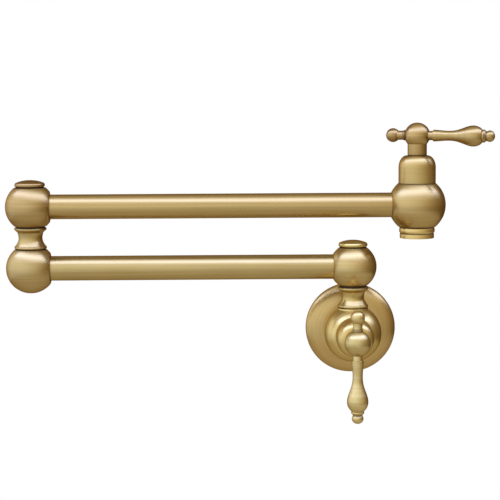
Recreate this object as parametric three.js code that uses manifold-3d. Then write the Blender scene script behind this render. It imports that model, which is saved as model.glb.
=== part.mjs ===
// Wall mounted pot filler: two swinging arms between an inlet valve on the wall and an outlet valve.
// Millimetres, +Z up. The origin is where the inlet valve's axis meets the wall. The front faces -Y,
// and the arms are folded over each other along X. Every piece that comes apart is a mesh of its own.

import * as THREE from 'three';
import { mergeVertices } from 'three/addons/utils/BufferGeometryUtils.js';
import Module from 'manifold-3d';

const wasm = await Module();
wasm.setup();

// ---- Driving dimensions -----------------------------------------------------------------------

// Layout of the axes.
const standoff = 38;            // wall to the riser's axis
const lowerArmRise = 58;        // inlet valve's axis up to the lower arm's axis
const elbowRise = 53;           // lower arm's axis up to the upper arm's axis
const lowerArmLength = 277;     // riser's axis to the elbow's axis
const upperArmLength = 332;     // elbow's axis to the outlet's axis
const outletLeverAngle = -22;   // degrees that the outlet lever stands off the arm's line

// Clearances and the number of flats that stand for a round.
const fit = 0.3;                // a piece in its bore, thread or groove, or above its seat
const over = 1;                 // how far a cutter runs past the face that it cuts
const flangeFlats = 28;
const wideFlats = 20;
const midFlats = 16;
const slimFlats = 12;
const smallFlats = 8;
const hexagonFlats = 6;
const ringSides = 4;            // of an o-ring's section

// Arm tubes.
const tubeDiameter = 21.2;
const tubeWall = 1.3;

// Balls at the two swivels, and the chamber that carries the water round the stem.
const riserBallDiameter = 40.6;
const elbowBallDiameter = 42.8;
const ballFace = 16.6;          // ball's centre to the flats above and below it
const elbowTubeFace = 16.7;     // elbow's axis to the flat that the tube leaves by
const chamberDiameter = 20;
const chamberHeight = 16;
const chamberFloor = 13;        // elbow's lower ball: centre down to the floor of its chamber
const socketShoulder = 2.2;     // wall between the chamber and the end of a tube's socket
const upperLand = 3;            // height of the bearing above the chamber

// Swivel stem, its seals and what holds the ball down on it.
const stemDiameter = 15;
const stemBore = 8.4;
const stemPort = 5.6;           // diameter of the cross holes at the ball's centre
const stemEndDiameter = 9;
const stemEndLength = 4.6;
const stemThread = 9;           // how deep the stem goes into what carries it
const sealSection = 1.8;        // thickness of the swivel's o-rings
const seatWasherThickness = 0.6;
const seatWasherInset = 2.05;   // spool's edge in to the washer's edge
const thrustWasherThickness = 1;
const retainingNutHeight = 2.8;
const retainingNutFlats = 13;

// Spools between the balls.
const riserSpoolDiameter = 26.4;
const elbowSpoolDiameter = 27.8;
const riserSpoolWaist = 18.9;
const elbowSpoolWaist = 20.4;
const spoolBead = 3;            // height of the bead at either end

// Caps on top of the swivels.
const riserCapDiameter = 25;
const elbowCapDiameter = 26;
const capHeight = 6.1;
const capEdge = 2;              // height of the cap's widest line above its underside
const capSpigotLength = 4;
const capSpigotWall = 1.3;
const nutRoom = 0.6;            // the nut's corners to the inside of the cap's spigot

// Valve bodies.
const valveBallDiameter = 49.2;
const bonnetLedge = 0.4;        // how far the ball's flat shows round the bonnet
const collarHeight = 4.5;       // threaded collar inside the foot of the bonnet
const cavityFloor = 8;          // ball's centre down to the floor under the cartridge
const waterway = 13;            // diameter of the bores that feed and drain the cartridge
const riserBossRise = 1.5;      // height of the riser's boss above the ball, at the boss's edge
const outletLedge = 0.45;       // how far the ball's lower flat shows round the aerator

// Bonnets.
const bonnetDiameter = 31.9;
const bonnetWall = 1.7;
const bonnetStraight = 13.5;    // height of the straight part
const bonnetShoulder = 10.2;    // height of the rounded shoulder
const bonnetGap = 0.9;          // between the cartridge's neck and the hole in the bonnet

// Ceramic cartridge.
const cartridgeDiameter = 19;
const sleeveWall = 1;
const discThickness = 2.6;
const discWindow = 70;          // degrees of each of a disc's two windows
const windowInner = 2.6;        // radius where a window starts
const windowOuter = 6.4;
const sealHeight = 2.1;
const footThickness = 2.8;
const portWidth = 9.5;          // of the two openings in the sleeve's side
const hexHeight = 3.8;
const hexRoom = 1.55;           // the hexagon's corners to the inside of the bonnet
const cartridgeNeck = 12.8;
const neckDrop = 2.3;           // bonnet's top down to the top of the cartridge's neck
const cartridgeSeal = 1.8;      // thickness of the o-ring round the cartridge
const cartridgeSealDrop = 7.9;  // collar's top down to that o-ring
const spindleDiameter = 8;
const spindleDrop = 3.8;        // hub's centre down to the spindle's end
const spindleSeal = 1.4;
const spindleSealRise = 3;      // hexagon's top up to the spindle's o-ring
const splineTeeth = 10;
const splineLength = 9.7;
const splineDepth = 0.4;
const clipDiameter = 11.6;
const clipThickness = 0.8;
const clipGrip = 0.7;           // how deep the clip sits in the spindle

// Handles. The lever's stretches follow each other outwards from the hub.
const hubRise = 17.1;           // bonnet's top up to the hub's centre
const hubDiameter = 22;
const hubNeckDiameter = 16.5;
const hubSkirtDepth = 3.1;      // wide mouth of the hub's bore
const spotDepth = 0.55;         // how deep the lever's and finial's seats are sunk into the hub
const studDiameter = 5.2;
const studWall = 0.7;           // between a stud's hole and the spindle's bore
const leverNeckDiameter = 7.9;
const leverShoulder = 14.2;     // hub's centre to the start of the lever's grip
const leverGripDiameter = 10;   // at that shoulder
const leverGripLength = 13.3;   // shoulder to waist
const leverWaistDiameter = 8.5;
const leverSwellLength = 21.8;  // waist to the bulb's widest place
const leverSwellSkew = 1.25;    // over 1, the swell starts late
const leverBulbDiameter = 17.9;
const leverTailLength = 9;      // bulb's widest place to the bead
const leverTailAngle = 54;      // degrees of the bulb's round end
const leverBeadDiameter = 11.2;
const leverBeadHalf = 2.3;      // bead's middle to the groove
const leverGrooveDiameter = 8.4;
const leverTipDiameter = 9.8;
const leverTipLength = 7.3;     // groove to the tip
const leverTipDome = 0.6;       // share of that length that its round end takes
const finialDiameter = 12;
const finialLength = 27.6;      // hub's centre to the finial's end
const setScrewDiameter = 3.6;
const setScrewLength = 3.6;
const setScrewSocket = 2;
const setScrewEdge = 1;         // hub's wide mouth up to the set screw

// Wall flange and what is behind it.
const flangeDiameter = 78.8;
const flangeDepth = 12.5;
const flangeRim = 2.6;          // height of the flange's upright edge
const flangeWall = 1.6;
const flangeCrown = 40;         // diameter where the dome meets the flat round the hole
const bossDiameter = 30;
const bossClearance = 1;        // between the boss and the flange's hole
const bossGap = 5;              // end of the body's rear boss to the wall
const bossSeal = 2;             // thickness of the o-ring that holds the flange
const gasketWidth = 3.5;
const gasketThickness = 2;
const shankDiameter = 20.9;
const shankBore = 14;
const shankReach = 25;          // how far the shank goes into the wall
const shankThread = 14;         // how deep it is screwed into the body
const shankChamfer = 1.2;

// Aerator.
const aeratorDiameter = 30.6;   // over its bead
const aeratorHeight = 9.3;
const aeratorBeadHeight = 4.9;
const aeratorBeadRound = 0.8;   // how far the bead stands out of the neck
const aeratorSkirtStep = 0.6;   // how far the skirt stands back from the bead
const aeratorGroove = 0.5;
const aeratorThreadDiameter = 22.4;
const aeratorThreadLength = 4.6;
const aeratorThreadBore = 17;
const aeratorBore = 24;
const aeratorWasherThickness = 1.1;
const aeratorRoofThickness = 1.1;
const aeratorRecess = 0.5;      // how far the insert stands back from the skirt's end
const aeratorHoleDiameter = 2.6;
const aeratorHolePitch = 3.9;
const aeratorHoleRings = 2;     // rings of holes round the middle one

// ---- Finishes ---------------------------------------------------------------------------------

const finish = (color, metalness, roughness) =>
  () => new THREE.MeshStandardMaterial({ color, metalness, roughness });
const satinBrass = finish('#b8965c', 1, 0.35);
const rawBrass = finish('#c9a95f', 1, 0.45);
const steel = finish('#9a9c9e', 1, 0.35);
const ceramic = finish('#e9e6de', 0, 0.3);
const rubber = finish('#1d1d1e', 0, 0.8);
const nylon = finish('#5f472a', 0, 0.5);
const whitePlastic = finish('#dcdcd6', 0, 0.5);

// ---- Solids -----------------------------------------------------------------------------------

// Points of an arc round [radius, height], in degrees from the outward radius towards +height.
function arc([radius, height], size, from, to, steps, rise = size) {
  return Array.from({ length: steps + 1 }, (_, step) => {
    const angle = THREE.MathUtils.degToRad(from + (to - from) * step / steps);
    return [radius + size * Math.cos(angle), height + rise * Math.sin(angle)];
  });
}

// Points of an S-shaped sweep between two [radius, height] points. A skew over 1 makes it start late.
function sweep([startRadius, startHeight], [endRadius, endHeight], steps, skew = 1) {
  return Array.from({ length: steps + 1 }, (_, step) => {
    const along = step / steps;
    const share = (1 - Math.cos(Math.PI * along ** skew)) / 2;
    return [startRadius + (endRadius - startRadius) * share, startHeight + (endHeight - startHeight) * along];
  });
}

// Points of a hollow curve round a narrow middle, from one height to the other.
function cove(endRadius, middleRadius, from, to, steps) {
  return Array.from({ length: steps + 1 }, (_, step) => {
    const side = 2 * step / steps - 1;
    return [middleRadius + (endRadius - middleRadius) * side ** 2, (from + to) / 2 + side * (to - from) / 2];
  });
}

// Points of a shallow dome from its edge up to the axis.
function dome([edgeRadius, edgeHeight], top, steps) {
  return Array.from({ length: steps + 1 }, (_, step) => {
    const out = 1 - step / steps;
    return [edgeRadius * out, top - (top - edgeHeight) * out ** 2];
  });
}

// Angle in degrees, above a ball's equator, of the circle that a flat at this height cuts.
const latitude = (height, diameter) => THREE.MathUtils.radToDeg(Math.asin(height / (diameter / 2)));

// Half the width of a round at a distance from its centre.
const chord = (diameter, distance) => Math.sqrt((diameter / 2) ** 2 - distance ** 2);

// Turned solid about +Z. The outline of [radius, height] points starts and ends on the axis, or is
// the closed section of a ring.
function turned(outline, flats = wideFlats) {
  const onAxis = 1e-6;
  const twiceArea = outline.reduce((sum, [r, z], i) => {
    const [nextR, nextZ] = outline[(i + 1) % outline.length];
    return sum + r * nextZ - nextR * z;
  }, 0);
  const loop = twiceArea > 0 ? outline : [...outline].reverse();
  const points = loop.map(([r, z]) => new THREE.Vector2(r, z));
  if (loop[0][0] > onAxis) {
    points.push(points[0].clone());
  }
  return new THREE.LatheGeometry(points, flats).rotateX(Math.PI / 2);
}

const rod = (diameter, from, to, flats = slimFlats) =>
  turned([[0, from], [diameter / 2, from], [diameter / 2, to], [0, to]], flats);

const ring = (inner, outer, from, to, flats = slimFlats) =>
  turned([[inner / 2, from], [outer / 2, from], [outer / 2, to], [inner / 2, to]], flats);

// O-ring of a given section whose outside is `outer` across, centred at a height.
function sealRing(outer, section, height) {
  const middle = (outer - section) / 2;
  const outline = arc([middle, height], section / 2, 0, 360, ringSides).slice(0, -1);
  return turned(outline, midFlats);
}

// Points of a rectangular groove in a turned outline, going up.
const groove = (radius, depth, height, width) => [
  [radius, height - width / 2],
  [radius - depth, height - width / 2],
  [radius - depth, height + width / 2],
  [radius, height + width / 2],
];

// The same solid lying along X or Y.
const alongX = (geometry) => geometry.rotateY(Math.PI / 2);
const alongMinusX = (geometry) => geometry.rotateY(-Math.PI / 2);
const alongY = (geometry) => geometry.rotateX(-Math.PI / 2);

function toManifold(geometry) {
  const bare = geometry.clone();
  bare.deleteAttribute('normal');
  bare.deleteAttribute('uv');
  const merged = mergeVertices(bare);
  const index = merged.index.array;
  const triVerts = [];
  for (let i = 0; i < index.length; i += 3) {
    const [a, b, c] = [index[i], index[i + 1], index[i + 2]];
    if (a !== b && b !== c && c !== a) {
      triVerts.push(a, b, c);
    }
  }
  const vertProperties = Float32Array.from(merged.attributes.position.array);
  const mesh = new wasm.Mesh({ numProp: 3, vertProperties, triVerts: Uint32Array.from(triVerts) });
  return new wasm.Manifold(mesh);
}

function toGeometry(manifold) {
  const { vertProperties, triVerts } = manifold.getMesh();
  const geometry = new THREE.BufferGeometry();
  geometry.setAttribute('position', new THREE.BufferAttribute(Float32Array.from(vertProperties), 3));
  geometry.setIndex(new THREE.BufferAttribute(Uint32Array.from(triVerts), 1));
  geometry.computeVertexNormals();
  return geometry;
}

const cut = (body, ...tools) =>
  toGeometry(tools.reduce((left, tool) => left.subtract(toManifold(tool)), toManifold(body)));

const join = (body, ...others) =>
  toGeometry(others.reduce((sum, other) => sum.add(toManifold(other)), toManifold(body)));

function addPiece(group, name, geometry, makeMaterial) {
  const mesh = new THREE.Mesh(geometry, makeMaterial());
  mesh.name = name;
  group.add(mesh);
}

// ---- Swivel joint -----------------------------------------------------------------------------
// Heights are from the centre of the ball that turns. The stem stands in the part below, the ball
// turns on it over a washer, and a nut under the cap keeps the ball down.

const stemBearing = stemDiameter + 2 * fit;
const spoolTop = -(ballFace + fit + seatWasherThickness + fit);
const ledge = chamberHeight / 2 + upperLand;
const tubeSocketDiameter = tubeDiameter + 2 * fit;
const socketEnd = chamberDiameter / 2 + socketShoulder;
const tubeInside = tubeDiameter - 2 * tubeWall;
const nutCorners = retainingNutFlats / Math.cos(Math.PI / 6);
const capBoreDiameter = nutCorners + 2 * (nutRoom + capSpigotWall + fit);
const lowerSealHeight = -(ballFace + chamberHeight / 2) / 2;
const upperSealHeight = ledge - upperLand / 2;

// Ball with a bearing through it, a water chamber, and a bore for the cap.
function swivelBall(diameter) {
  const bearing = stemBearing / 2;
  const edge = latitude(ballFace, diameter);
  return turned([
    ...arc([0, 0], diameter / 2, -edge, edge, 6),
    [capBoreDiameter / 2, ballFace],
    [capBoreDiameter / 2, ledge],
    [bearing, ledge],
    [bearing, chamberHeight / 2],
    [chamberDiameter / 2, chamberHeight / 2],
    [chamberDiameter / 2, -chamberHeight / 2],
    [bearing, -chamberHeight / 2],
    [bearing, -ballFace],
  ]);
}

// Ball with a closed round bottom and a bore on top for the stem.
function closedBall() {
  const chamber = chamberDiameter / 2;
  const edge = latitude(ballFace, elbowBallDiameter);
  return turned([
    ...arc([0, 0], elbowBallDiameter / 2, -90, edge, 8),
    [stemBearing / 2, ballFace],
    [stemBearing / 2, chamberHeight / 2],
    [chamber, chamberHeight / 2],
    [chamber, -chamberHeight / 2],
    [chamber / 2, -chamberFloor],
    [0, -chamberFloor],
  ]);
}

// Cutters for the socket that takes a tube and for the waterway behind it, along +Z.
const tubeCutters = (diameter) => [
  rod(tubeSocketDiameter, socketEnd, diameter / 2 + over, wideFlats),
  rod(waterway, 0, socketEnd + over),
];

// Ball with its tube socket and, on the elbow, the flat round the tube. `lay` turns +Z to the tube.
function armBall(ball, diameter, lay, face) {
  const cutters = tubeCutters(diameter);
  if (face) {
    cutters.push(rod(diameter, face, diameter / 2 + over));
  }
  return cut(ball, ...cutters.map(lay));
}

// Hollow stem with two o-ring grooves, four ports into the ball's chamber and a threaded end.
function swivelStem(foot) {
  const radius = stemDiameter / 2;
  const depth = sealSection + fit;
  const width = sealSection + 2 * fit;
  const shoulder = ledge + fit / 2;
  const boreTop = chamberHeight / 2 - fit;
  const stem = turned([
    [0, boreTop],
    [stemBore / 2, boreTop],
    [stemBore / 2, foot],
    [radius, foot],
    ...groove(radius, depth, lowerSealHeight, width),
    ...groove(radius, depth, upperSealHeight, width),
    [radius, shoulder],
    [stemEndDiameter / 2, shoulder],
    [stemEndDiameter / 2, ledge + stemEndLength],
    [0, ledge + stemEndLength],
  ], slimFlats);
  const port = () => rod(stemPort, -stemDiameter, stemDiameter, smallFlats);
  return cut(stem, alongX(port()), alongY(port()));
}

// Waisted sleeve over the stem, with a bead at either end.
function spool(diameter, waist, foot) {
  const bead = spoolBead / 2;
  const beadCentre = diameter / 2 - bead;
  const neck = beadCentre + bead / 2;
  return turned([
    [stemBearing / 2, foot],
    ...arc([beadCentre, foot + bead], bead, -90, 45, 3),
    ...cove(neck, waist / 2, foot + spoolBead + fit, spoolTop - spoolBead - fit, 4),
    ...arc([beadCentre, spoolTop - bead], bead, -45, 90, 3),
    [stemBearing / 2, spoolTop],
  ]);
}

// Domed cap with a threaded spigot in the ball's bore. It is hollow over the retaining nut.
function swivelCap(diameter) {
  const under = ballFace + fit;
  const spigot = capBoreDiameter / 2 - fit;
  const inside = spigot - capSpigotWall;
  const edge = arc([diameter / 2 - capEdge, under + capEdge], capEdge, -60, 40, 3);
  return turned([
    [0, under + capEdge],
    [inside, under + capEdge],
    [inside, under - capSpigotLength],
    [spigot, under - capSpigotLength],
    [spigot, under],
    ...edge,
    ...dome(edge.at(-1), under + capHeight, 3).slice(1),
  ]);
}

// Everything between one ball and the next: the sleeve, the stem and what seals and holds the ball.
function addSwivel(group, name, { spoolDiameter, waist, foot, stemFoot }) {
  const washer = ledge + fit;
  const nut = washer + thrustWasherThickness + fit;
  const nutBore = rod(stemEndDiameter + 2 * fit, nut - over, nut + retainingNutHeight + over);
  const seat = -(ballFace + fit);
  const seatWidth = spoolDiameter - 2 * seatWasherInset;
  const seatWasher = ring(stemBearing, seatWidth, seat - seatWasherThickness, seat);
  const thrustInside = stemEndDiameter + 2 * fit;
  const thrustOutside = capBoreDiameter - 2 * fit;
  const thrustWasher = ring(thrustInside, thrustOutside, washer, washer + thrustWasherThickness);
  const retainingNut = cut(rod(nutCorners, nut, nut + retainingNutHeight, hexagonFlats), nutBore);
  addPiece(group, `${name}_spool`, spool(spoolDiameter, waist, foot), satinBrass);
  addPiece(group, `${name}_stem`, swivelStem(stemFoot), rawBrass);
  addPiece(group, `${name}_seat_washer`, seatWasher, nylon);
  addPiece(group, `${name}_lower_o_ring`, sealRing(stemDiameter, sealSection, lowerSealHeight), rubber);
  addPiece(group, `${name}_upper_o_ring`, sealRing(stemDiameter, sealSection, upperSealHeight), rubber);
  addPiece(group, `${name}_thrust_washer`, thrustWasher, nylon);
  addPiece(group, `${name}_retaining_nut`, retainingNut, steel);
}

// ---- Valve ------------------------------------------------------------------------------------
// Heights are from the centre of the valve's ball, towards the handle. Both valves hold the same
// cartridge, bonnet and handle.

const cartridgeBore = cartridgeDiameter + 2 * fit;
const sleeveBore = cartridgeDiameter - 2 * sleeveWall;
const discDiameter = sleeveBore - 2 * fit;
const sealBottom = fit - cavityFloor;
const fixedDiscBottom = sealBottom + sealHeight + fit;
const movingDiscBottom = fixedDiscBottom + discThickness + fit;
const footBottom = movingDiscBottom + discThickness + fit;
const footTop = footBottom + footThickness;
const bonnetInside = bonnetDiameter - 2 * bonnetWall;
const bonnetSeat = chord(valveBallDiameter, bonnetDiameter / 2 + bonnetLedge);
const bonnetFoot = bonnetSeat + fit;
const bonnetTop = bonnetFoot + bonnetStraight + bonnetShoulder;
const collarTop = bonnetSeat + collarHeight;
const hexTop = collarTop + fit + hexHeight;
const cartridgeNeckTop = bonnetTop - neckDrop;
const cartridgeSealHeight = collarTop - cartridgeSealDrop;
const spindleBore = spindleDiameter + 2 * fit;
const spindleSealHeight = hexTop + spindleSealRise;
const clipBottom = cartridgeNeckTop + fit;
const hubHeight = bonnetTop + hubRise;
const spindleTop = hubHeight - spindleDrop;
const riserBossTop = chord(valveBallDiameter, riserSpoolDiameter / 2) + riserBossRise;
const valveSocketEnd = cartridgeBore / 2 + socketShoulder;
const movingWindows = 90;       // degrees between the lever and the windows that turn with it
const outletFace = chord(valveBallDiameter, aeratorDiameter / 2 + outletLedge);
const flangeHole = bossDiameter + 2 * bossClearance;
const flangeHoleHeight = flangeDepth - flangeWall / 2 - standoff;

// The ball's upper outline, its collar and the cavity for the cartridge, from a latitude upwards.
const valveOutline = (from) => [
  ...arc([0, 0], valveBallDiameter / 2, from, latitude(bonnetSeat, valveBallDiameter), 6),
  [bonnetInside / 2 - fit, bonnetSeat],
  [bonnetInside / 2 - fit, collarTop],
  [cartridgeBore / 2, collarTop],
  [cartridgeBore / 2, -cavityFloor],
  [waterway / 2, -cavityFloor],
];

// Body of the inlet valve: the wall is towards -Z and the riser towards +Y.
function inletBody() {
  const boss = bossDiameter / 2;
  const bossEnd = bossGap - standoff;
  const socket = shankDiameter / 2 + fit;
  const socketTop = bossEnd + shankThread + fit;
  const ball = turned([
    [socket, bossEnd],
    [boss, bossEnd],
    ...groove(boss, bossSeal - fit, flangeHoleHeight, bossSeal + 2 * fit),
    ...valveOutline(-latitude(chord(valveBallDiameter, boss), valveBallDiameter)),
    [waterway / 2, socketTop],
    [socket, socketTop],
  ]);
  const riserBoss = rod(riserSpoolDiameter, cartridgeBore / 2 + over, riserBossTop, wideFlats);
  const flat = rod(riserSpoolDiameter, riserBossTop, valveBallDiameter / 2 + over);
  const stemSocket = rod(stemBearing, riserBossTop - stemThread - fit, riserBossTop + over, wideFlats);
  const riserBore = rod(stemBore, 0, riserBossTop);
  return cut(join(ball, alongY(riserBoss)), alongY(flat), alongY(stemSocket), alongY(riserBore));
}

// Body of the outlet valve: the arm's tube enters from -X and the aerator hangs below.
function outletBody() {
  const threadTop = -(outletFace - aeratorThreadLength - fit);
  const thread = aeratorThreadDiameter / 2 + fit;
  const ball = turned([
    ...valveOutline(-latitude(outletFace, valveBallDiameter)),
    [waterway / 2, threadTop],
    [thread, threadTop],
    [thread, -outletFace],
  ]);
  const socket = rod(tubeSocketDiameter, valveSocketEnd, valveBallDiameter / 2 + over, wideFlats);
  const bore = rod(waterway, 0, valveSocketEnd + over);
  return cut(ball, alongMinusX(socket), alongMinusX(bore));
}

// Cutter for one window of a ceramic disc, centred on a direction in degrees.
function windowCutter(direction, reach, from, height) {
  const start = THREE.MathUtils.degToRad(direction - discWindow / 2);
  const end = THREE.MathUtils.degToRad(direction + discWindow / 2);
  const shape = new THREE.Shape();
  shape.absarc(0, 0, reach, start, end, false);
  shape.absarc(0, 0, windowInner, end, start, true);
  const depth = height + 2 * over;
  const cutter = new THREE.ExtrudeGeometry(shape, { depth, bevelEnabled: false, curveSegments: 3 });
  return cutter.translate(0, 0, from - over);
}

// A disc with two windows that face each other.
function windowedDisc(direction, from) {
  const sides = [direction, direction + 180];
  const windows = sides.map((side) => windowCutter(side, windowOuter, from, discThickness));
  return cut(rod(discDiameter, from, from + discThickness), ...windows);
}

// Brass housing: a sleeve round the discs, a groove for the o-ring, a hexagon and a neck. Its two
// side ports face the same way as the fixed disc's windows.
function cartridgeHousing(direction) {
  const outside = cartridgeDiameter / 2;
  const bottom = sealBottom + fit;
  const hexFoot = hexTop - hexHeight;
  const barrel = turned([
    [0, bottom],
    [outside, bottom],
    ...groove(outside, cartridgeSeal, cartridgeSealHeight, cartridgeSeal + 2 * fit),
    [outside, hexFoot + hexHeight / 2],
    [cartridgeNeck / 2, hexFoot + hexHeight / 2],
    [cartridgeNeck / 2, cartridgeNeckTop],
    [0, cartridgeNeckTop],
  ], midFlats);
  const hexagon = rod(bonnetInside - 2 * hexRoom, hexFoot, hexTop, hexagonFlats);
  const bore = rod(spindleBore, bottom, cartridgeNeckTop + over);
  const pocket = rod(sleeveBore, bottom - over, footTop + fit, wideFlats);
  const ports = new THREE.BoxGeometry(2 * cartridgeDiameter, portWidth, footThickness);
  ports.rotateZ(THREE.MathUtils.degToRad(direction));
  ports.translate(0, 0, (footBottom + footTop) / 2);
  return cut(join(barrel, hexagon), bore, pocket, ports);
}

// Spindle: a slotted foot that turns the moving disc, a shaft with two grooves, and a spline.
function spindle() {
  const radius = spindleDiameter / 2;
  const splineFoot = spindleTop - splineLength;
  const clipMiddle = clipBottom + clipThickness / 2;
  const shaft = turned([
    [0, footBottom],
    [discDiameter / 2, footBottom],
    [discDiameter / 2, footTop],
    [radius, footTop],
    ...groove(radius, spindleSeal + fit, spindleSealHeight, spindleSeal + 2 * fit),
    ...groove(radius, clipGrip + fit, clipMiddle, clipThickness + 2 * fit),
    [radius, splineFoot],
    [0, splineFoot],
  ], slimFlats);
  const star = new THREE.Shape();
  for (let corner = 0; corner < 2 * splineTeeth; corner += 1) {
    const reach = radius - (corner % 2) * splineDepth;
    const angle = Math.PI * corner / splineTeeth;
    star[corner ? 'lineTo' : 'moveTo'](reach * Math.cos(angle), reach * Math.sin(angle));
  }
  const spline = new THREE.ExtrudeGeometry(star, { depth: splineLength + over, bevelEnabled: false });
  spline.translate(0, 0, splineFoot - over);
  const sides = [movingWindows, movingWindows + 180];
  const slots = sides.map((side) => windowCutter(side, discDiameter, footBottom, footThickness - over));
  return cut(join(shaft, spline), ...slots);
}

// Domed sleeve that hides the cartridge. It screws onto the body's collar.
function bonnet() {
  const outside = bonnetDiameter / 2;
  const inside = bonnetInside / 2;
  const rim = hubNeckDiameter / 2;
  const hole = cartridgeNeck / 2 + bonnetGap;
  const shoulder = bonnetFoot + bonnetStraight;
  return turned([
    [outside, bonnetFoot],
    ...arc([rim, shoulder], outside - rim, 0, 90, 5, bonnetShoulder),
    [hole, bonnetTop],
    [hole, bonnetTop - bonnetWall],
    ...arc([rim, shoulder], inside - rim, 90, 0, 3, bonnetShoulder - bonnetWall),
    [inside, bonnetFoot],
  ]);
}

// The still parts of a valve, apart from its body. `closed` is where the lever points when the
// valve is shut, in degrees from +X.
function addCartridge(group, name, closed) {
  const seal = ring(waterway, discDiameter, sealBottom, sealBottom + sealHeight);
  addPiece(group, `${name}_seat_seal`, seal, rubber);
  addPiece(group, `${name}_fixed_disc`, windowedDisc(closed, fixedDiscBottom), ceramic);
  addPiece(group, `${name}_cartridge`, cartridgeHousing(closed), rawBrass);
  const barrelSeal = sealRing(cartridgeDiameter, cartridgeSeal - fit, cartridgeSealHeight);
  addPiece(group, `${name}_cartridge_o_ring`, barrelSeal, rubber);
  addPiece(group, `${name}_bonnet`, bonnet(), satinBrass);
}

// ---- Handle -----------------------------------------------------------------------------------
// Turns on the valve's axis. The lever points along +X and the finial along -X.

const spotFace = chord(hubDiameter, leverNeckDiameter / 2 + fit) - spotDepth;
const studSeat = spotFace + fit;
const studLength = spotFace - spindleBore / 2 - studWall;
const hubFoot = bonnetTop + fit;
const setScrewHeight = hubFoot + hubSkirtDepth + setScrewEdge + setScrewDiameter / 2;

// Ball on a neck, bored for the spindle, the lever's and finial's studs and the set screw.
function handleHub() {
  const neck = hubNeckDiameter / 2;
  const mouth = clipDiameter / 2 + fit;
  const bore = spindleBore / 2;
  const neckLatitude = latitude(chord(hubDiameter, neck), hubDiameter);
  const hub = turned([
    [0, spindleTop + fit],
    [bore, spindleTop + fit],
    [bore, hubFoot + hubSkirtDepth],
    [mouth, hubFoot + hubSkirtDepth],
    [mouth, hubFoot],
    [neck, hubFoot],
    ...arc([0, hubHeight], hubDiameter / 2, -neckLatitude, 90, 7),
  ], midFlats);
  const sides = [alongX, alongMinusX].flatMap((lay) => [
    lay(rod(leverNeckDiameter + 2 * fit, spotFace, hubDiameter / 2 + over)).translate(0, 0, hubHeight),
    lay(rod(studDiameter + 2 * fit, spotFace - studLength, spotFace + over)).translate(0, 0, hubHeight),
  ]);
  const screwHole = alongY(rod(setScrewDiameter + 2 * fit, bore / 2, neck + over, smallFlats));
  return cut(hub, ...sides, screwHole.translate(0, 0, setScrewHeight));
}

// Where a turned piece with a threaded stud starts: the stud, its shoulder and the neck.
const studOutline = () => [
  [0, studSeat - studLength],
  [studDiameter / 2, studSeat - studLength],
  [studDiameter / 2, studSeat],
  [leverNeckDiameter / 2, studSeat],
];

// Lever: a waisted grip that swells to a bulb, a bead, a groove and a rounded tip.
function lever() {
  const grip = leverGripDiameter / 2;
  const waist = leverWaistDiameter / 2;
  const bulb = leverBulbDiameter / 2;
  const bead = leverBeadDiameter / 2;
  const beadRound = leverBeadHalf / 2;
  const tip = leverTipDiameter / 2;
  const waistPlace = leverShoulder + leverGripLength;
  const bulbPlace = waistPlace + leverSwellLength;
  const beadPlace = bulbPlace + leverTailLength;
  const groovePlace = beadPlace + leverBeadHalf;
  const tailRise = (leverTailLength - beadRound) / Math.sin(THREE.MathUtils.degToRad(leverTailAngle));
  const tipRise = leverTipLength * leverTipDome;
  return turned([
    ...studOutline(),
    [leverNeckDiameter / 2, leverShoulder],
    ...sweep([grip, leverShoulder + fit], [waist, waistPlace], 3),
    ...sweep([waist, waistPlace], [bulb, bulbPlace], 5, leverSwellSkew).slice(1),
    ...arc([0, bulbPlace], bulb, leverTailAngle / 4, leverTailAngle, 3, tailRise),
    ...arc([bead - beadRound, beadPlace], beadRound, -60, 60, 2),
    [leverGrooveDiameter / 2, groovePlace],
    ...arc([0, groovePlace + leverTipLength - tipRise], tip, -35, 90, 4, tipRise),
  ], midFlats);
}

function finial() {
  const radius = finialDiameter / 2;
  const neckLatitude = latitude(chord(finialDiameter, leverNeckDiameter / 2), finialDiameter);
  return turned([
    ...studOutline(),
    ...arc([0, finialLength - radius], radius, -neckLatitude, 90, 6),
  ], slimFlats);
}

// Grub screw with a hexagon socket, pointing at the spindle along +Y.
function setScrew() {
  const from = spindleDiameter / 2 + fit;
  const to = from + setScrewLength;
  const socket = rod(setScrewSocket, to - setScrewLength / 2, to + over, hexagonFlats);
  return alongY(cut(rod(setScrewDiameter, from, to, smallFlats), socket));
}

function addHandle(group, name) {
  const clip = ring(spindleDiameter - 2 * clipGrip, clipDiameter, clipBottom, clipBottom + clipThickness);
  addPiece(group, `${name}_moving_disc`, windowedDisc(movingWindows, movingDiscBottom), ceramic);
  addPiece(group, `${name}_spindle`, spindle(), rawBrass);
  const seal = sealRing(spindleDiameter, spindleSeal, spindleSealHeight);
  addPiece(group, `${name}_spindle_o_ring`, seal, rubber);
  addPiece(group, `${name}_spindle_clip`, clip, steel);
  addPiece(group, `${name}_handle_hub`, handleHub(), satinBrass);
  addPiece(group, `${name}_handle_lever`, alongX(lever()).translate(0, 0, hubHeight), satinBrass);
  addPiece(group, `${name}_handle_finial`, alongMinusX(finial()).translate(0, 0, hubHeight), satinBrass);
  addPiece(group, `${name}_handle_set_screw`, setScrew().translate(0, 0, setScrewHeight), steel);
}

// ---- Wall flange ------------------------------------------------------------------------------
// In the inlet valve's frame, with the wall at -standoff.

// Domed dish over the hole in the wall, with an upright edge and a hole for the body's boss.
function wallFlange() {
  const rim = flangeDiameter / 2;
  const crown = flangeCrown / 2;
  const hole = flangeHole / 2;
  const edge = flangeRim - standoff;
  const rise = flangeDepth - flangeRim;
  const inside = rim - flangeWall;
  return turned([
    [rim, -standoff],
    ...arc([crown, edge], rim - crown, 0, 90, 6, rise),
    [hole, edge + rise],
    [hole, edge + rise - flangeWall],
    ...arc([crown, edge], inside - crown, 90, 0, 4, rise - flangeWall),
    [inside, -standoff],
  ], flangeFlats);
}

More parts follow.
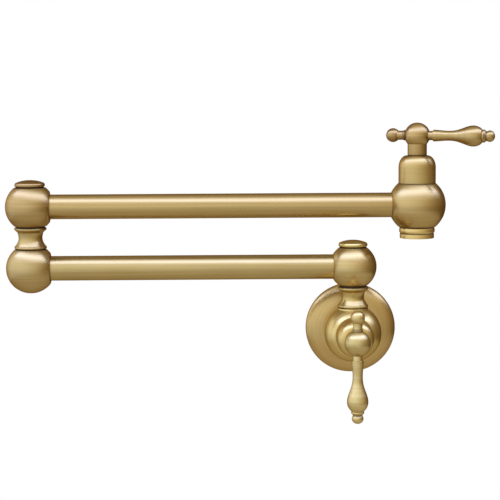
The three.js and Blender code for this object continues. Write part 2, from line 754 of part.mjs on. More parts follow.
function addWallSide(group) {
  const gasketOutside = flangeDiameter - 2 * (flangeWall + fit);
  const gasketInside = gasketOutside - 2 * gasketWidth;
  const gasket = ring(gasketInside, gasketOutside, -standoff, gasketThickness - standoff, flangeFlats);
  const shankEnd = -(standoff + shankReach);
  const shankTop = bossGap - standoff + shankThread;
  const shank = turned([
    [shankBore / 2, shankEnd],
    [shankDiameter / 2 - shankChamfer, shankEnd],
    [shankDiameter / 2, shankEnd + shankChamfer],
    [shankDiameter / 2, shankTop],
    [shankBore / 2, shankTop],
  ]);
  addPiece(group, 'wall_flange', wallFlange(), satinBrass);
  addPiece(group, 'flange_gasket', gasket, rubber);
  addPiece(group, 'flange_o_ring', sealRing(flangeHole - 2 * fit, bossSeal, flangeHoleHeight), rubber);
  addPiece(group, 'inlet_shank', shank, rawBrass);
}

// ---- Aerator ----------------------------------------------------------------------------------
// In the outlet valve's frame, hanging under its ball.

const aeratorTop = -(outletFace + fit);
const aeratorBottom = aeratorTop - aeratorHeight;
const aeratorRoof = aeratorTop - aeratorRoofThickness;

// Ring with a threaded spigot above, a rounded bead, a fine groove and a plain skirt.
function aeratorHousing() {
  const bead = [aeratorDiameter / 2 - aeratorBeadRound, aeratorTop - aeratorBeadHeight / 2];
  const beadFoot = aeratorTop - aeratorBeadHeight;
  const skirt = aeratorDiameter / 2 - aeratorSkirtStep;
  return turned([
    [aeratorThreadBore / 2, aeratorTop + aeratorThreadLength],
    [aeratorThreadDiameter / 2, aeratorTop + aeratorThreadLength],
    [aeratorThreadDiameter / 2, aeratorTop],
    ...arc(bead, aeratorBeadRound, 90, -70, 4, aeratorBeadHeight / 2),
    [skirt - aeratorGroove, beadFoot],
    [skirt, beadFoot - aeratorGroove],
    [skirt, aeratorBottom],
    [aeratorBore / 2, aeratorBottom],
    [aeratorBore / 2, aeratorRoof],
    [aeratorThreadBore / 2, aeratorRoof],
  ]);
}

// Plastic insert with a honeycomb of holes.
function aeratorInsert(top) {
  const bottom = aeratorBottom + aeratorRecess;
  const rings = aeratorHoleRings;
  const holes = [];
  for (let row = -rings; row <= rings; row += 1) {
    for (let place = -rings; place <= rings; place += 1) {
      if (Math.abs(row + place) <= rings) {
        const hole = rod(aeratorHoleDiameter, bottom - over, top + over, hexagonFlats);
        const x = aeratorHolePitch * (place + row / 2);
        const y = aeratorHolePitch * row * Math.sin(Math.PI / 3);
        holes.push(hole.translate(x, y, 0));
      }
    }
  }
  return cut(rod(aeratorBore - 2 * fit, bottom, top, midFlats), ...holes);
}

function addAerator(group) {
  const washerTop = aeratorRoof - fit;
  const washerBottom = washerTop - aeratorWasherThickness;
  const washer = ring(aeratorThreadBore, aeratorBore - 2 * fit, washerBottom, washerTop, midFlats);
  addPiece(group, 'aerator_housing', aeratorHousing(), satinBrass);
  addPiece(group, 'aerator_washer', washer, rubber);
  addPiece(group, 'aerator_insert', aeratorInsert(washerBottom - fit), whitePlastic);
}

// ---- Assembly ---------------------------------------------------------------------------------

// Tube along X between two places on the X axis.
function armTube(from, to) {
  return alongX(ring(tubeInside, tubeDiameter, from, to, wideFlats));
}

const quarterTurn = Math.PI / 2;
const potFiller = new THREE.Group();

// The inlet valve stands out from the wall: its +Z looks along -Y and its +Y up the riser.
const inletValve = new THREE.Group();
inletValve.position.set(0, -standoff, 0);
inletValve.rotation.x = quarterTurn;
addWallSide(inletValve);
addPiece(inletValve, 'inlet_valve_body', inletBody(), satinBrass);
addCartridge(inletValve, 'inlet', -90);
const inletHandle = new THREE.Group();
inletHandle.rotation.z = -quarterTurn;
addHandle(inletHandle, 'inlet');
inletValve.add(inletHandle);
potFiller.add(inletValve);

// The riser carries the near end of the lower arm.
const riser = new THREE.Group();
riser.position.set(0, -standoff, lowerArmRise);
addSwivel(riser, 'riser', {
  spoolDiameter: riserSpoolDiameter,
  waist: riserSpoolWaist,
  foot: riserBossTop + fit - lowerArmRise,
  stemFoot: riserBossTop - stemThread - lowerArmRise,
});
const riserBall = armBall(swivelBall(riserBallDiameter), riserBallDiameter, alongMinusX);
addPiece(riser, 'riser_ball', riserBall, satinBrass);
addPiece(riser, 'riser_cap', swivelCap(riserCapDiameter), satinBrass);
const lowerTubeEnd = socketEnd + fit;
addPiece(riser, 'lower_tube', armTube(lowerTubeEnd - lowerArmLength, -lowerTubeEnd), satinBrass);
potFiller.add(riser);

// The elbow carries the upper arm over the far end of the lower arm.
const elbow = new THREE.Group();
elbow.position.set(-lowerArmLength, -standoff, lowerArmRise + elbowRise);
const lowerBall = armBall(closedBall(), elbowBallDiameter, alongX, elbowTubeFace);
addPiece(elbow, 'elbow_lower_ball', lowerBall.translate(0, 0, -elbowRise), satinBrass);
addSwivel(elbow, 'elbow', {
  spoolDiameter: elbowSpoolDiameter,
  waist: elbowSpoolWaist,
  foot: ballFace + fit - elbowRise,
  stemFoot: ballFace - stemThread - elbowRise,
});
const upperBall = armBall(swivelBall(elbowBallDiameter), elbowBallDiameter, alongX, elbowTubeFace);
addPiece(elbow, 'elbow_upper_ball', upperBall, satinBrass);
addPiece(elbow, 'elbow_cap', swivelCap(elbowCapDiameter), satinBrass);
const upperTubeEnd = upperArmLength - valveSocketEnd - fit;
addPiece(elbow, 'upper_tube', armTube(socketEnd + fit, upperTubeEnd), satinBrass);
potFiller.add(elbow);

// The outlet valve stands upright at the upper arm's far end.
const outletValve = new THREE.Group();
outletValve.position.set(upperArmLength, 0, 0);
addPiece(outletValve, 'outlet_valve_body', outletBody(), satinBrass);
addCartridge(outletValve, 'outlet', 0);
addAerator(outletValve);
const outletHandle = new THREE.Group();
outletHandle.rotation.z = THREE.MathUtils.degToRad(outletLeverAngle);
addHandle(outletHandle, 'outlet');
outletValve.add(outletHandle);
elbow.add(outletValve);

export default potFiller;
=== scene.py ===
"""Looks of a wall mounted pot filler in satin brass, put together from the wall outwards.
Outlines and places are in millimetres, and what Blender itself takes is in metres."""
import math

import bmesh
import bpy
from mathutils import Matrix, Vector


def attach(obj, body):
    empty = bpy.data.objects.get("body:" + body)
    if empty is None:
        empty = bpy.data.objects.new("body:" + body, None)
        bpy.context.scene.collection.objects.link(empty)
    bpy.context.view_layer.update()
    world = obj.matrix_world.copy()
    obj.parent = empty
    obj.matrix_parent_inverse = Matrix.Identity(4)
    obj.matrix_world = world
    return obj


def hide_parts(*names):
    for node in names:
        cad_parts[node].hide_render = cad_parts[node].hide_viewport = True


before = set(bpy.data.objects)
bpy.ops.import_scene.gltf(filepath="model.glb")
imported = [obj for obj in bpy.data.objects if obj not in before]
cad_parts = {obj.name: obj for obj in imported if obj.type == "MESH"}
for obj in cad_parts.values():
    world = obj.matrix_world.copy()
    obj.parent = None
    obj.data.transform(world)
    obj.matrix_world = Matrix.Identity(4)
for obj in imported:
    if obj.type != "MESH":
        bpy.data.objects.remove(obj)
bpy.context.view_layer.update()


# ---- Wall flange --------------------------------------------------------------------------------
# A shallow spun brass dish over the hole in the wall, brushed in rings and lacquered. It slides on
# the valve's rear boss, where an o-ring holds it, and a soft gasket lies behind its rim.

# A length in millimetres that counts as none: of a side, or of a radius on the axis.
tiny = 1e-6


def arc(centre, size, start, end, steps=16, rise=None):
    """Points of an arc round a [radius, height] centre, in degrees towards +height. Its radius
    is the size, or the rise along the height where that is given."""
    rise = size if rise is None else rise
    angles = [math.radians(start + (end - start) * step / steps) for step in range(steps + 1)]
    return [(centre[0] + size * math.cos(a), centre[1] + rise * math.sin(a)) for a in angles]


def softened(outline, radius, steps=3):
    """The outline with its sharp corners broken by a small round of about this radius."""
    smooth_turn, sharpest_turn, share_of_side = math.radians(24), 2.6, 0.45
    is_ring = outline[0][0] > tiny
    points = [Vector(point) for point in outline]
    result = []
    for i, here in enumerate(points):
        back, forth = points[i - 1] - here, points[(i + 1) % len(points)] - here
        open_end = not is_ring and i in (0, len(points) - 1)
        is_corner = not open_end and min(back.length, forth.length) >= tiny
        turn = math.pi - back.angle(forth) if is_corner else 0
        if turn < smooth_turn:
            result.append(here)
            continue
        reach = min(radius * math.tan(min(turn, sharpest_turn) / 2),
                    share_of_side * back.length, share_of_side * forth.length)
        start, end = here + back.normalized() * reach, here + forth.normalized() * reach
        for step in range(steps + 1):
            t = step / steps
            result.append(start * (1 - t) ** 2 + here * (2 * t * (1 - t)) + end * t ** 2)
    return [(max(point.x, 0.0), point.y) for point in result]


def creased(piece, angle=33):
    """Smooth shading, with the edges that turn more than this many degrees left sharp."""
    mesh = bmesh.new()
    mesh.from_mesh(piece.data)
    for face in mesh.faces:
        face.smooth = True
    for edge in mesh.edges:
        edge.smooth = len(edge.link_faces) == 2 and edge.calc_face_angle(0) < math.radians(angle)
    mesh.to_mesh(piece.data)
    mesh.free()


def unfinished(name, vertices, faces):
    """A new object from vertices in metres, still without a material."""
    mesh = bpy.data.meshes.new(name)
    mesh.from_pydata(vertices, [], faces)
    piece = bpy.data.objects.new(name, mesh)
    bpy.context.scene.collection.objects.link(piece)
    return piece


def solid(name, vertices, faces, place):
    """An object from vertices in millimetres, standing where its matrix says."""
    piece = unfinished(name, [[value / 1000 for value in vertex] for vertex in vertices], faces)
    work = bmesh.new()
    work.from_mesh(piece.data)
    bmesh.ops.recalc_face_normals(work, faces=work.faces)
    work.to_mesh(piece.data)
    work.free()
    piece.matrix_world = place
    creased(piece)
    return piece


def ring(radius, height, steps):
    """Points of a level ring round the Z axis."""
    angles = [2 * math.pi * step / steps for step in range(steps)]
    return [(radius * math.cos(angle), radius * math.sin(angle), height) for angle in angles]


def skin(rings, closed):
    """Faces from each ring of vertex numbers to the next, and from the last to the first if
    closed. A point on the axis is a ring that names one vertex again and again."""
    faces = []
    for i in range(len(rings) if closed else len(rings) - 1):
        low, high = rings[i], rings[(i + 1) % len(rings)]
        for step in range(len(low)):
            after = (step + 1) % len(low)
            corners = list(dict.fromkeys((low[step], low[after], high[after], high[step])))
            if len(corners) > 2:
                faces.append(corners)
    return faces


def turned(name, outline, place, edge=0.3, steps=96):
    """A turned piece round its own Z, with its edges broken by the size given. The outline's
    points are [radius, height] in millimetres. It ends on the axis, or is a ring's section."""
    same_place = 1e-4
    outline = [point for i, point in enumerate(outline)
               if i == 0 or math.dist(point, outline[i - 1]) > same_place]
    if edge:
        outline = softened(outline, edge)
    vertices, rings = [], []
    for radius, height in outline:
        if radius < tiny:
            rings.append([len(vertices)] * steps)
            vertices.append((0, 0, height))
        else:
            rings.append(range(len(vertices), len(vertices) + steps))
            vertices += ring(radius, height, steps)
    return solid(name, vertices, skin(rings, closed=outline[0][0] > tiny), place)


def at(x, y, z):
    """Matrix of a place in millimetres."""
    return Matrix.Translation((x / 1000, y / 1000, z / 1000))


class Link:
    """A node's output. Expressions on it add the maths nodes that they need."""

    def __init__(self, finish, socket):
        self.finish, self.socket = finish, socket

    def maths(self, operation, *values):
        inputs = dict(enumerate(values))
        return self.finish.node("ShaderNodeMath", {"operation": operation}, inputs)

    def __add__(self, other):
        return self.maths("ADD", self, other)

    def __radd__(self, other):
        return self.maths("ADD", other, self)

    def __sub__(self, other):
        return self.maths("SUBTRACT", self, other)

    def __rsub__(self, other):
        return self.maths("SUBTRACT", other, self)

    def __mul__(self, other):
        return self.maths("MULTIPLY", self, other)

    def __rmul__(self, other):
        return self.maths("MULTIPLY", other, self)

    def __truediv__(self, other):
        return self.maths("DIVIDE", self, other)

    def __pow__(self, other):
        return self.maths("POWER", self, other)

    def __abs__(self):
        return self.maths("ABSOLUTE", self)

    def larger(self, other):
        """The larger one of this value and another."""
        return self.maths("MAXIMUM", self, other)

    def clipped(self):
        """The value kept between 0 and 1."""
        return self.maths("MINIMUM", self.larger(0.0), 1.0)


class Finish:
    """A material whose nodes are added by expressions."""

    def __init__(self, name, tree=None):
        if tree is None:
            self.material = bpy.data.materials.new(name)
            self.material.use_nodes = True
            tree = self.material.node_tree
        self.tree = tree
        self.tree.nodes.clear()

    def node(self, kind, settings=None, inputs=None, out=0):
        """Adds a node, its settings first, then its sockets' values or links, and gives one of
        its outputs."""
        made = self.tree.nodes.new(kind)
        for key, value in (settings or {}).items():
            if key == "stops":
                stops = made.color_ramp.elements
                while len(stops) < len(value):
                    stops.new(1.0)
                for stop, (place, level) in zip(stops, value):
                    stop.position, stop.color = place, (level, level, level, 1)
            else:
                setattr(made, key, value)
        for key, value in (inputs or {}).items():
            if isinstance(value, Link):
                self.tree.links.new(value.socket, made.inputs[key])
            else:
                made.inputs[key].default_value = value
        return Link(self, made.outputs[out]) if len(made.outputs) else None

    def place(self):
        """X, Y and Z in metres, in the piece's own frame."""
        vector = self.node("ShaderNodeTexCoord", out="Object")
        return [self.node("ShaderNodeSeparateXYZ", inputs={0: vector}, out=axis)
                for axis in range(3)]

    def noise(self, x, y, z, seed, detail=2.0, roughness=0.55):
        """Soft noise from 0 to 1 at the given place, one unit to a speck."""
        return self.node("ShaderNodeTexNoise", {"noise_dimensions": "4D", "normalize": True}, {
            "Vector": self.node("ShaderNodeCombineXYZ", inputs={0: x, 1: y, 2: z}),
            "W": seed, "Scale": 1.0, "Detail": detail, "Roughness": roughness})

    def mixed(self, factor, first, second):
        """The first colour, going to the second as the factor goes to 1."""
        inputs = {0: factor, 6: first, 7: second}
        return self.node("ShaderNodeMix", {"data_type": "RGBA"}, inputs, out=2)

    def surface(self, **sockets):
        """Closes the material with one shader, its sockets named with underscores."""
        inputs = {key.replace("_", " "): value for key, value in sockets.items()}
        shader = self.node("ShaderNodeBsdfPrincipled", inputs=inputs)
        self.node("ShaderNodeOutputMaterial", inputs={"Surface": shader})
        return self.material


def srgb(red, green, blue):
    """A colour as a picture shows it, in the linear numbers that a shader takes."""
    linear = [c / 12.92 if c <= 0.04045 else ((c + 0.055) / 1.055) ** 2.4
              for c in (red / 255, green / 255, blue / 255)]
    return (*linear, 1.0)


def satin_brass(name, seed, seams=(), brushed="round", combed=0.0, painted_lighting=(1.0, 1.0, 1.0)):
    """Lacquered satin brass, brushed round the turning axis or along it. A dark band lies in the
    seams, which are heights on the axis in millimetres: partly tarnish, partly painted shade where
    the parts meet. A combed piece draws its shine out along its axis, as deep rings from the brush
    do.
    The tone, how much more red, green and blue this piece gives back than the others, is painted
    light and shade: it lightens, darkens or whitens a piece for how the light falls where it
    stands."""
    def with_painted_lighting(*shade):
        """A shade of the brass, lightened or darkened by this piece's painted light and shade."""
        return (*(level * share for level, share in zip(srgb(*shade), painted_lighting)), 1.0)

    warm_shade, fair_shade, line_shade, tarnish_and_shade_colour = (
        (181, 146, 70), (187, 152, 77), (199, 165, 95), (84, 56, 24))
    finish = Finish(name)
    x, y, z = finish.place()
    # Specks to a metre, for the brush's hairs, the broader bands of them and soft clouds.
    hair_across, cloud_scale = 2400, 42
    if brushed == "round":
        radius = (x * x + y * y) ** 0.5
        first, second, hair_path, band_path = radius, z, x + y, x - y
        hair_along, band_across, band_along = 55, 520, 14
    else:
        first, second, hair_path, band_path = x, y, z, z
        hair_along, band_across, band_along = 45, 620, 9
    hair = finish.noise(first * hair_across, second * hair_across, hair_path * hair_along, seed,
                        detail=3.0)
    band = finish.noise(first * band_across, second * band_across, band_path * band_along, seed + 7)
    cloud = finish.noise(x * cloud_scale, y * cloud_scale, z * cloud_scale, seed + 13,
                         detail=1.0)
    # A dark band at each seam height, partly tarnish and partly painted shade where the parts meet.
    tarnish_and_shade, seam_width = 0.0, 0.0011
    for height in seams:
        tarnish_and_shade = (1 - abs(z - height / 1000) / seam_width).clipped().larger(tarnish_and_shade)
    # The piece's tone paints light and shade: it lightens, darkens or whitens the brass for how the
    # light falls where the piece stands.
    warm = finish.mixed((cloud - 0.3) * 2.2, with_painted_lighting(*warm_shade), with_painted_lighting(*fair_shade))
    lined = finish.mixed(((band - 0.38) * 2.4).clipped(), warm, with_painted_lighting(*line_shade))
    # The seams are darkened towards the tarnish colour: partly tarnish, partly painted shade.
    colour = finish.mixed(tarnish_and_shade * 0.75, lined, srgb(*tarnish_and_shade_colour)) if seams else lined
    roughness = 0.25 + combed * 0.07 + hair * 0.06 + band * 0.07 + cloud * 0.03 + tarnish_and_shade * 0.2
    relief = finish.node("ShaderNodeBump", inputs={
        "Strength": 0.4, "Distance": 0.0001, "Height": hair * 0.12 + band * 0.8})
    rim = finish.node("ShaderNodeLayerWeight", inputs={"Blend": 0.5}, out="Facing")
    return finish.surface(
        Base_Color=colour, Metallic=1.0, Roughness=roughness, Normal=relief,
        Specular_Tint=srgb(195, 160, 95), Coat_Weight=(1.6 - rim * 1.6).clipped(),
        Coat_Roughness=0.26, Coat_IOR=1.7, Anisotropic=combed, Anisotropic_Rotation=0.25)


def fitted(piece, material, node, body):
    """Gives a piece its finish and lets it stand for a node of the frame."""
    piece.data.materials.clear()
    piece.data.materials.append(material)
    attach(piece, body)
    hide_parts(node)


standoff = 38.0
inlet_frame = at(0, -standoff, 0) @ Matrix.Rotation(math.pi / 2, 4, "X")

flange_rim, flange_crown, flange_hole = 39.4, 20.0, 16.0
flange_edge, flange_top, flange_wall = -35.4, -25.5, 1.6
flange_dish, flange_rise = flange_rim - flange_crown, flange_top - flange_edge
flange = turned("spun_wall_flange", [
    (flange_rim, -standoff),
    *arc((flange_crown, flange_edge), flange_dish, 0, 90, 28, flange_rise),
    (flange_hole, flange_top),
    (flange_hole, flange_top - flange_wall),
    *arc((flange_crown, flange_edge), flange_dish - flange_wall, 90, 0, 20,
         flange_rise - flange_wall),
    (flange_rim - flange_wall, -standoff),
], inlet_frame, edge=0.45, steps=128)
fitted(flange, satin_brass("satin_brass_flange", 1.3, combed=0.3), "wall_flange", "wall_valve")


# ---- Inlet shank --------------------------------------------------------------------------------
# Half-inch brass pipe shank, cut with a parallel thread and left as machined. It is screwed into
# the valve's boss with sealant and goes through the wall into the supply pipe's fitting.

def machined(name, seed, colour=(196, 166, 96), darker=(160, 130, 70), rough=0.32):
    """Bare metal straight from the lathe, with fine tool marks and a dull film in patches."""
    marks_scale, film_scale = 900, 90
    finish = Finish(name)
    x, y, z = finish.place()
    marks = finish.noise(x * marks_scale, y * marks_scale, z * marks_scale, seed, 3.0, 0.7)
    film = finish.noise(x * film_scale, y * film_scale, z * film_scale, seed + 5)
    colour = finish.mixed((film - 0.3) * 1.9, srgb(*colour), srgb(*darker))
    relief = finish.node("ShaderNodeBump", inputs={
        "Strength": 0.4, "Distance": 0.00003, "Height": marks})
    return finish.surface(
        Base_Color=colour, Metallic=1.0, Roughness=rough + marks * 0.1 + film * 0.12, Normal=relief)


shank_radius, shank_bore, shank_end, shank_top = 10.45, 7.0, -63.0, -19.0
thread_depth, thread_pitch, thread_flank = 0.95, 1.814, 1.25
lead_in_length, lead_in_depth = 1.6, 1.2
ring_steps, rings_per_pitch = 64, 6
last_ring = int((shank_top - shank_end) / thread_pitch * rings_per_pitch)
shank_points = []
for row in range(last_ring + 1):
    height = shank_end + (shank_top - shank_end) * row / last_ring
    lead_in = min(1.0, (height - shank_end) / lead_in_length)
    for step in range(ring_steps):
        phase = (height / thread_pitch - step / ring_steps) % 1
        radius = shank_radius - thread_depth * min(1.0, abs(2 * phase - 1) * thread_flank)
        radius = min(radius, shank_radius - lead_in_depth * (1 - lead_in))
        angle = 2 * math.pi * step / ring_steps
        shank_points.append((radius * math.cos(angle), radius * math.sin(angle), height))
for height in (shank_top, shank_end):
    shank_points += ring(shank_bore, height, ring_steps)
shank_rings = [range(i, i + ring_steps) for i in range(0, len(shank_points), ring_steps)]
shank = solid("threaded_inlet_shank", shank_points, skin(shank_rings, closed=True), inlet_frame)
fitted(shank, machined("machined_brass_shank", 2.1), "inlet_shank", "wall_valve")


# ---- Inlet valve body ---------------------------------------------------------------------------
# A brass ball turned from bar: a boss behind it for the shank and flange, a boss on top for the
# riser, and a flat with a threaded collar in front that takes the cartridge and the bonnet.

def latitude(height, diameter):
    """Degrees above the equator of a ball where a flat at this height cuts it."""
    return math.degrees(math.asin(height / (diameter / 2)))


def neck_latitude(neck_radius, diameter):
    """Degrees from the equator of a ball to where a round neck runs into it."""
    return latitude(math.sqrt((diameter / 2) ** 2 - neck_radius ** 2), diameter)


def rod(diameter, start, end, place, steps=96, edge=0):
    """A plain round bar along its own Z, to cut with or to join on."""
    radius = diameter / 2
    outline = [(0, start), (radius, start), (radius, end), (0, end)]
    return turned("cutter", outline, place, edge, steps)


def shaped(piece, tools, operation="DIFFERENCE"):
    """Cuts the tools from the piece, or joins them to it, and clears up after the cut."""
    same_place = 2e-6
    for tool in tools:
        step = piece.modifiers.new("shape", "BOOLEAN")
        step.operation, step.solver, step.object = operation, "EXACT", tool
    bpy.context.view_layer.update()
    result = piece.evaluated_get(bpy.context.evaluated_depsgraph_get())
    mesh = bpy.data.meshes.new_from_object(result)
    work = bmesh.new()
    work.from_mesh(mesh)
    bmesh.ops.remove_doubles(work, verts=work.verts, dist=same_place)
    bmesh.ops.dissolve_degenerate(work, edges=work.edges, dist=same_place)
    bmesh.ops.holes_fill(work, edges=[edge for edge in work.edges if edge.is_boundary], sides=4)
    work.to_mesh(mesh)
    work.free()
    piece.modifiers.clear()
    piece.data = mesh
    for tool in tools:
        bpy.data.objects.remove(tool)
    creased(piece)


valve_ball, bonnet_seat, collar_top, collar_radius = 49.2, 18.381, 22.881, 13.95
cartridge_bore, cavity_floor, waterway = 9.8, -8.0, 6.5
valve_front = [
    (collar_radius, bonnet_seat), (collar_radius, collar_top), (cartridge_bore, collar_top),
    (cartridge_bore, cavity_floor), (waterway, cavity_floor)]

boss_radius, boss_end, shank_socket, shank_socket_top = 15.0, -33.0, 10.75, -18.7
flange_seal, flange_seal_depth, flange_seal_half = -26.3, 1.7, 1.3
riser_boss, riser_boss_foot, riser_boss_top = 26.4, 10.8, 22.258
stem_bearing, bearing_depth, stem_bore, above_boss = 15.6, 9.3, 8.4, 30
towards_y = Matrix.Rotation(-math.pi / 2, 4, "X")
up = inlet_frame @ towards_y
inlet_body = turned("inlet_valve_ball", [
    (shank_socket, boss_end), (boss_radius, boss_end),
    (boss_radius, flange_seal - flange_seal_half),
    (boss_radius - flange_seal_depth, flange_seal - flange_seal_half),
    (boss_radius - flange_seal_depth, flange_seal + flange_seal_half),
    (boss_radius, flange_seal + flange_seal_half),
    *arc((0, 0), valve_ball / 2, -neck_latitude(boss_radius, valve_ball),
         latitude(bonnet_seat, valve_ball), 48),
    *valve_front, (waterway, shank_socket_top), (shank_socket, shank_socket_top),
], inlet_frame, edge=0.25, steps=128)
shaped(inlet_body, [rod(riser_boss, riser_boss_foot, riser_boss_top, up, edge=0.35)], "UNION")
shaped(inlet_body, [
    rod(stem_bearing, riser_boss_top - bearing_depth, above_boss, up),
    rod(stem_bore, 0, riser_boss_top, up),
])
# The inlet ball's tone is painted light: it is paled and whitened as if lit more strongly.
fitted(inlet_body, satin_brass("satin_brass_inlet_ball", 3.7, combed=0.15, painted_lighting=(1.3, 1.47, 1.85)),
       "inlet_valve_body", "wall_valve")


# ---- Bonnets ------------------------------------------------------------------------------------
# Thin turned brass domes that hide the cartridges. Each screws down on its valve's collar until
# it almost meets the ball, and leaves a fine dark line there and a small ledge under the hub.

bonnet_radius, bonnet_inside, bonnet_foot, bonnet_straight = 15.95, 14.25, 18.481, 13.7
bonnet_top, bonnet_rim, bonnet_hole, bonnet_wall = 42.381, 8.9, 7.3, 1.7
bonnet_shoulder = bonnet_foot + bonnet_straight
bonnet_outline = [
    (bonnet_radius, bonnet_foot),
    *arc((bonnet_rim, bonnet_shoulder), bonnet_radius - bonnet_rim, 0, 90, 24,
         bonnet_top - bonnet_shoulder),
    (bonnet_hole, bonnet_top),
    *arc((bonnet_hole, bonnet_shoulder), bonnet_inside - bonnet_hole, 90, 0, 12,
         bonnet_top - bonnet_wall - bonnet_shoulder),
    (bonnet_inside, bonnet_foot)]
outlet_across, upper_height = 55, 111
outlet_frame = at(outlet_across, -standoff, upper_height)
# Each row's tone is painted light and shade: the inlet dome paled and whitened, the outlet dome
# left about as it is.
for side, place, body, seed, seams, painted_lighting in (
        ("inlet", inlet_frame, "wall_valve", 4.2, (), (1.22, 1.36, 1.6)),
        ("outlet", outlet_frame, "upper_arm", 5.9, (bonnet_foot, bonnet_top), (0.98, 1.01, 1.03))):
    bonnet = turned(f"{side}_dome", bonnet_outline, place, edge=0.3)
    fitted(bonnet, satin_brass(f"satin_brass_{side}_dome", seed, seams, combed=0.3, painted_lighting=painted_lighting),
           f"{side}_bonnet", body)


# ---- Cartridges ---------------------------------------------------------------------------------
# Quarter-turn ceramic cartridges inside the valves: a machined brass housing and spindle, two
# lapped discs, a rubber seat and o-rings, and a steel clip. They keep their CAD meshes, as the
# stems, nuts and seals of the swivels do, because they are only seen when the part is apart.

def moulded(name, seed, colour, darker, rough, coat=0.0, grain=700):
    """Rubber, plastic or ceramic: a fine grain with a few worn or dusty patches."""
    dust_scale = 120
    finish = Finish(name)
    x, y, z = finish.place()
    pores = finish.noise(x * grain, y * grain, z * grain, seed, 3.0, 0.6)
    dust = finish.noise(x * dust_scale, y * dust_scale, z * dust_scale, seed + 3)
    tint = finish.mixed((dust - 0.35) * 2.0, srgb(*colour), srgb(*darker))
    relief = finish.node("ShaderNodeBump", inputs={
        "Strength": 0.35, "Distance": 0.00004, "Height": pores})
    return finish.surface(
        Base_Color=tint, Roughness=rough + pores * 0.12 + dust * 0.08, Normal=relief,
        Coat_Weight=coat)


inner_finishes = {
    "raw_brass": machined("machined_brass_inside", 6.4),
    "steel": machined("machined_steel", 7.7, (164, 167, 170), (132, 134, 137), rough=0.28),
    "ceramic": moulded("lapped_ceramic", 8.1, (236, 233, 226), (222, 218, 209), rough=0.16,
                       coat=0.3, grain=1500),
    "rubber": moulded("black_rubber", 9.6, (34, 34, 35), (52, 51, 50), rough=0.62),
    "nylon": moulded("bronze_filled_plastic", 10.2, (104, 78, 46), (84, 61, 34), rough=0.42),
}
inner_pieces = {
    "raw_brass": ["inlet_cartridge", "outlet_cartridge", "inlet_spindle", "outlet_spindle",
                  "riser_stem", "elbow_stem"],
    "steel": ["inlet_spindle_clip", "outlet_spindle_clip", "riser_retaining_nut",
              "elbow_retaining_nut"],
    "ceramic": ["inlet_fixed_disc", "inlet_moving_disc", "outlet_fixed_disc",
                "outlet_moving_disc"],
    "rubber": ["inlet_seat_seal", "outlet_seat_seal", "inlet_cartridge_o_ring",
               "outlet_cartridge_o_ring", "inlet_spindle_o_ring", "outlet_spindle_o_ring",
               "riser_lower_o_ring", "riser_upper_o_ring", "elbow_lower_o_ring",
               "elbow_upper_o_ring", "aerator_washer"],
    "nylon": ["riser_thrust_washer", "elbow_thrust_washer"],
}
for kind, names in inner_pieces.items():
    for name in names:
        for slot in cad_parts[name].material_slots:
            slot.material = inner_finishes[kind]


# ---- Flange seals -------------------------------------------------------------------------------
# A flat rubber gasket lies behind the flange's rim, against the wall. An o-ring in the boss's
# groove is squeezed by the flange's hole and holds the flange in its place.

gasket_outside, gasket_inside, gasket_thickness = 37.5, 34.0, 2.0
gasket_front = gasket_thickness - standoff
gasket = turned("flange_rim_gasket", [
    (gasket_inside, -standoff), (gasket_outside, -standoff),
    (gasket_outside, gasket_front), (gasket_inside, gasket_front),
], inlet_frame, edge=0.25, steps=128)
fitted(gasket, inner_finishes["rubber"], "flange_gasket", "wall_valve")

seal_thickness = 2.0
seal_middle = (flange_hole - seal_thickness / 2, flange_seal)
seal_section = arc(seal_middle, seal_thickness / 2, 0, 360, 16)[:-1]
seal = turned("flange_grip_ring", seal_section, inlet_frame, edge=0, steps=128)
fitted(seal, inner_finishes["rubber"], "flange_o_ring", "wall_valve")


# ---- Handles ------------------------------------------------------------------------------------
# Each handle is a brass ball on a neck, pushed on the spindle's spline and held by a steel grub
# screw behind. The lever and the small ball opposite are turned pieces that screw into the ball.

hub_height, hub_radius, hub_neck, hub_foot, hub_mouth = 59.481, 11.0, 8.25, 42.681, 6.1
spindle_bore, spline_top, skirt_top = 4.3, 55.981, 45.781
hub_outline = [
    (0, spline_top), (spindle_bore, spline_top), (spindle_bore, skirt_top), (hub_mouth, skirt_top),
    (hub_mouth, hub_foot), (hub_neck, hub_foot),
    *arc((0, hub_height), hub_radius, -neck_latitude(hub_neck, 2 * hub_radius), 90, 40)]

stud_radius, stud_start, stud_seat, lever_neck = 2.6, 5.3, 9.896, 3.95
stud = [(0, stud_start), (stud_radius, stud_start), (stud_radius, stud_seat),
        (lever_neck, stud_seat)]


def swell(start, end, steps, skew=1.0):
    """Points of an S-shaped sweep between two points. A skew over 1 makes it start late."""
    points = []
    for step in range(1, steps + 1):
        along = step / steps
        share = (1 - math.cos(math.pi * along ** skew)) / 2
        points.append((start[0] + (end[0] - start[0]) * share,
                       start[1] + (end[1] - start[1]) * along))
    return points


neck_end, shoulder, waist, bulb = 14.2, (5.0, 14.5), (4.25, 27.5), (8.95, 49.3)
bead_radius, bead_half, bead_place, tail_angle = 5.6, 1.15, 58.3, 54
tail_rise = (bead_place - bead_half - bulb[1]) / math.sin(math.radians(tail_angle))
groove_radius, groove_place, groove_below, groove_above = 4.2, 60.6, 0.35, 0.25
tip_radius, tip_rise, tip_end = 4.9, 4.38, 67.9
lever_outline = [
    *stud, (lever_neck, neck_end), shoulder,
    *swell(shoulder, waist, 14), *swell(waist, bulb, 28, 1.25),
    *arc((0, bulb[1]), bulb[0], 4, tail_angle, 14, tail_rise),
    *arc((bead_radius - bead_half, bead_place), bead_half, -65, 65, 10),
    (groove_radius, groove_place - groove_below), (groove_radius, groove_place + groove_above),
    *arc((0, tip_end - tip_rise), tip_radius, -38, 90, 18, tip_rise)]

